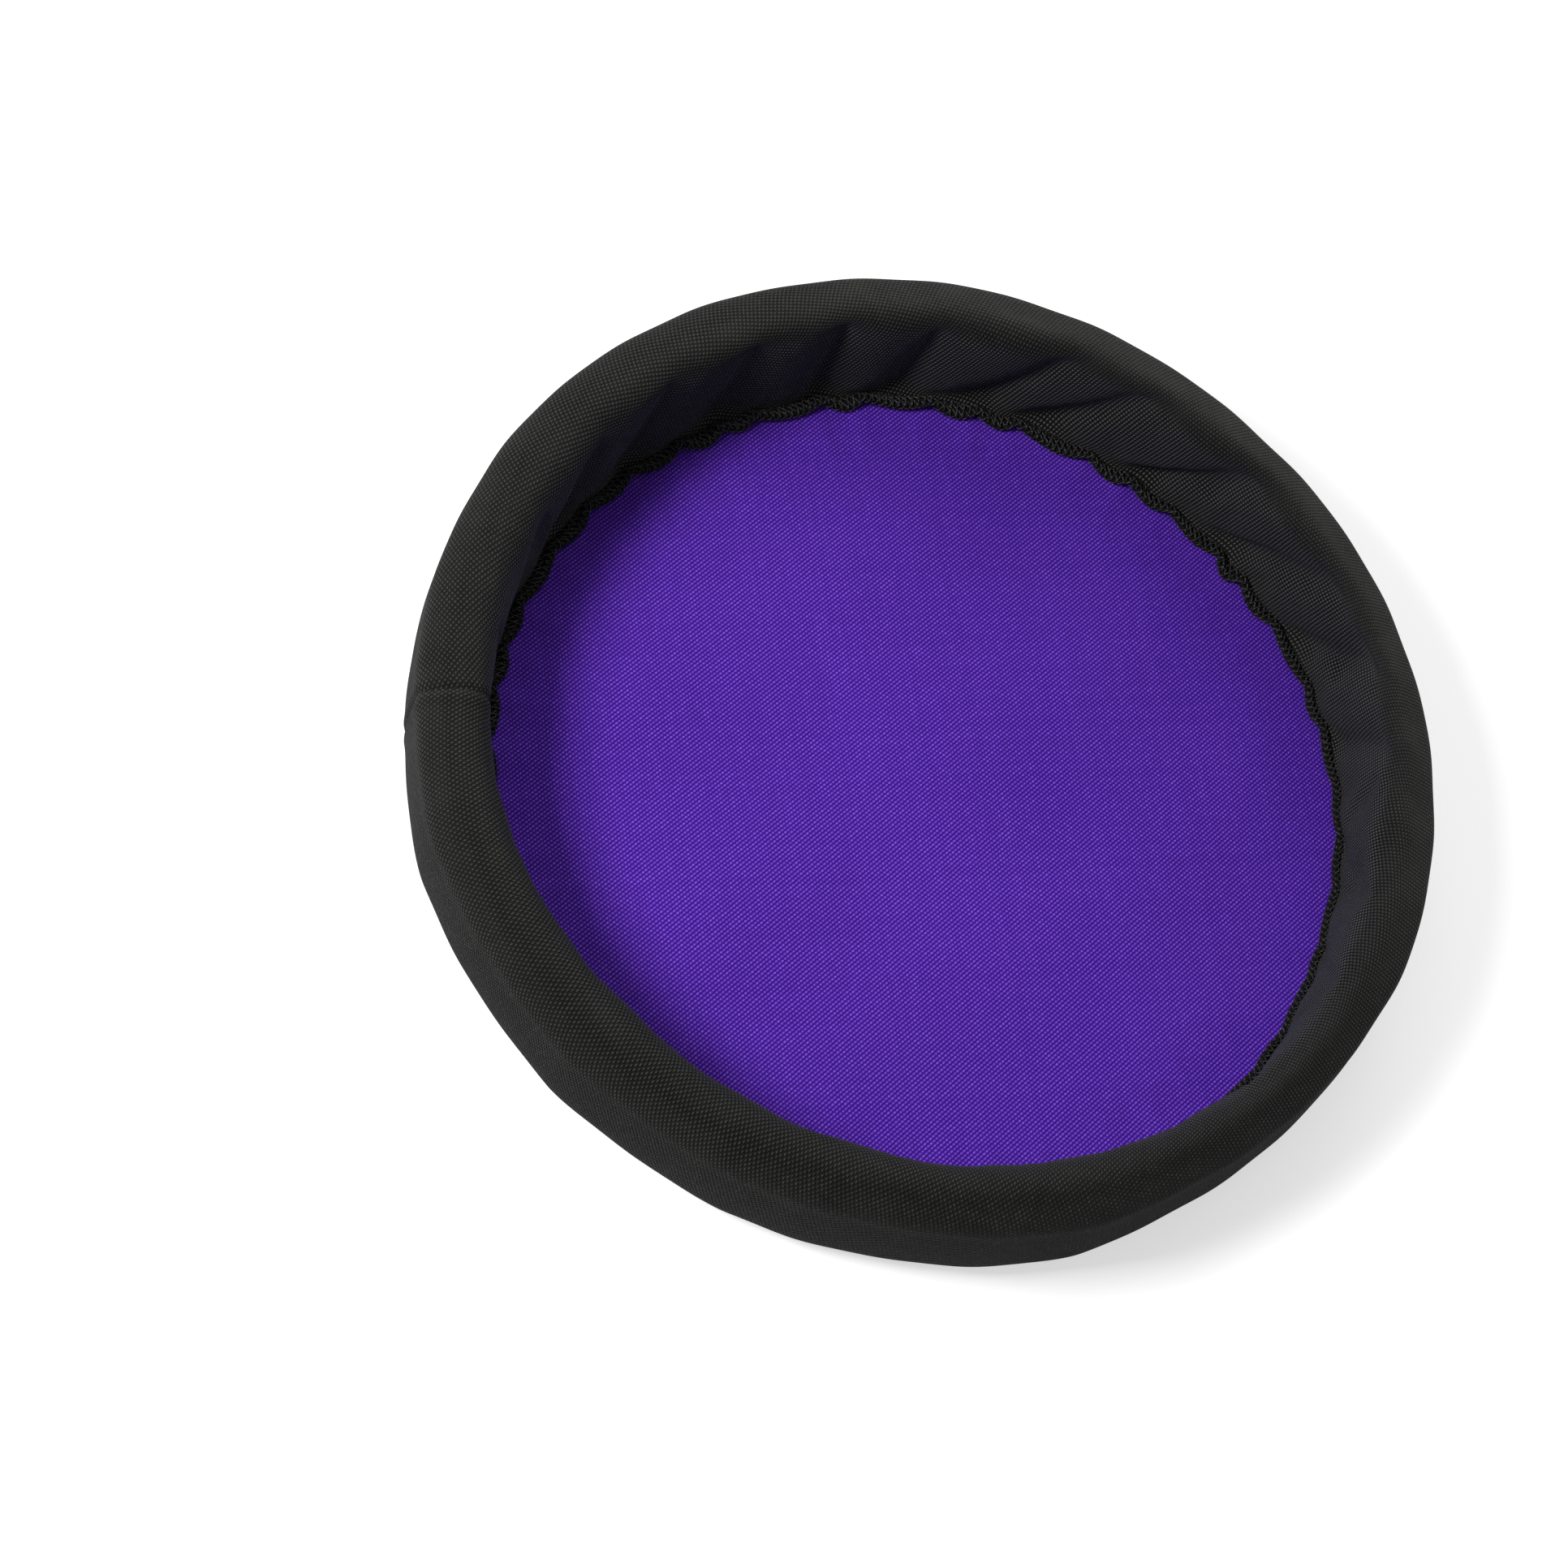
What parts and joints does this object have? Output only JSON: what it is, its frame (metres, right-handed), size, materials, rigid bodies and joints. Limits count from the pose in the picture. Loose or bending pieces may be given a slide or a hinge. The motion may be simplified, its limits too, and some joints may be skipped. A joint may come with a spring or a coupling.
{
  "type": "soft fabric flying disc",
  "caption": "Soft flying disc: a round woven cloth panel sewn to a padded fabric rim, hollow on one side, with the bound seam gathered at the foot of the inner wall.",
  "frame": {"origin": "middle of the crown panel's outer face, on the surface that the disc lies on", "axes": "+Z along the disc's own axis, out of its hollow side; the disc lies crown down; +X and +Y are free, with +Y away from the viewer of the picture"},
  "size_m": [0.3, 0.3, 0.0429],
  "materials": {
    "panel_cloth": "purple plain-weave polyester, slight sheen",
    "rim_cloth": "black plain-weave polyester, slight sheen",
    "foam": "closed-cell foam, matte",
    "thread": "black overlock thread, matte"
  },
  "bodies": {
    "root": {"crown_panel": "panel_cloth", "rim_cover": "rim_cloth", "rim_core": "foam", "edge_overlock": "thread"}
  },
  "joints": []
}
